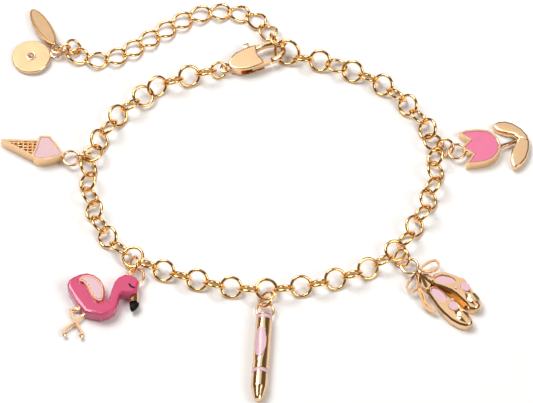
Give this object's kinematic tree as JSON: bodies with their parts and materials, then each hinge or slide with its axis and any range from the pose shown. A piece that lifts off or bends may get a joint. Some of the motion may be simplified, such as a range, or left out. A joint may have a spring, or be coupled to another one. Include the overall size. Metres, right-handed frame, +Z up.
{
  "type": "charm bracelet",
  "caption": "Gold charm bracelet lying open: round-link chain, twisted curb extender, lobster clasp, enamelled charms on jump rings and two small tags.",
  "frame": {"origin": "on the surface it lies on, below the middle of the whole", "axes": "+Z up from the surface, +Y to the back, where the clasp is, +X to the viewer's right"},
  "size_m": [0.0928, 0.0842, 0.004],
  "materials": {
    "gold": "polished gold plating",
    "pale_pink_enamel": "glossy pale pink enamel",
    "pink_enamel": "glossy pink enamel",
    "hot_pink_enamel": "glossy hot pink enamel",
    "black_enamel": "glossy black enamel",
    "pink_crystal": "cut crystal, pale pink"
  },
  "bodies": {
    "bracelet": {"main_chain": "gold", "extender_chain": "gold", "clasp_body": "gold", "clasp_ring": "gold", "end_ring": "gold", "ice_cream_ring": "gold", "flamingo_ring": "gold", "crayon_ring": "gold", "slippers_ring": "gold", "tulip_ring": "gold", "tag_ring": "gold", "tag_link": "gold", "ice_cream_charm": "gold", "flamingo_casting": "gold", "crayon_charm": "gold", "slippers_charm": "gold", "tulip_charm": "gold", "oval_tag": "gold", "round_tag": "gold", "ice_cream_enamel": "pale_pink_enamel", "flamingo_wing": "pale_pink_enamel", "crayon_band_upper": "pale_pink_enamel", "crayon_band_lower": "pale_pink_enamel", "crayon_label": "pale_pink_enamel", "slipper_insole_upper": "pale_pink_enamel", "slipper_toe_upper": "pale_pink_enamel", "slipper_spot_upper": "pale_pink_enamel", "slipper_insole_lower": "pale_pink_enamel", "slipper_toe_lower": "pale_pink_enamel", "slipper_spot_lower": "pale_pink_enamel", "tulip_enamel": "pink_enamel", "flamingo_enamel": "hot_pink_enamel", "flamingo_eye": "black_enamel", "flamingo_beak_tip": "black_enamel", "round_tag_stone": "pink_crystal"},
    "lever": {"clasp_lever": "gold"}
  },
  "joints": [
    {"name": "lever_hinge", "type": "hinge", "parent": "bracelet", "child": "lever", "pos_m": [-0.00263, 0.02856, 0.00132], "axis": [-0.049, -0.0184, 0.9986], "range_deg": [0, 22], "stiffness_Nm_per_rad": 0.0008, "springref_deg": -11.46}
  ]
}
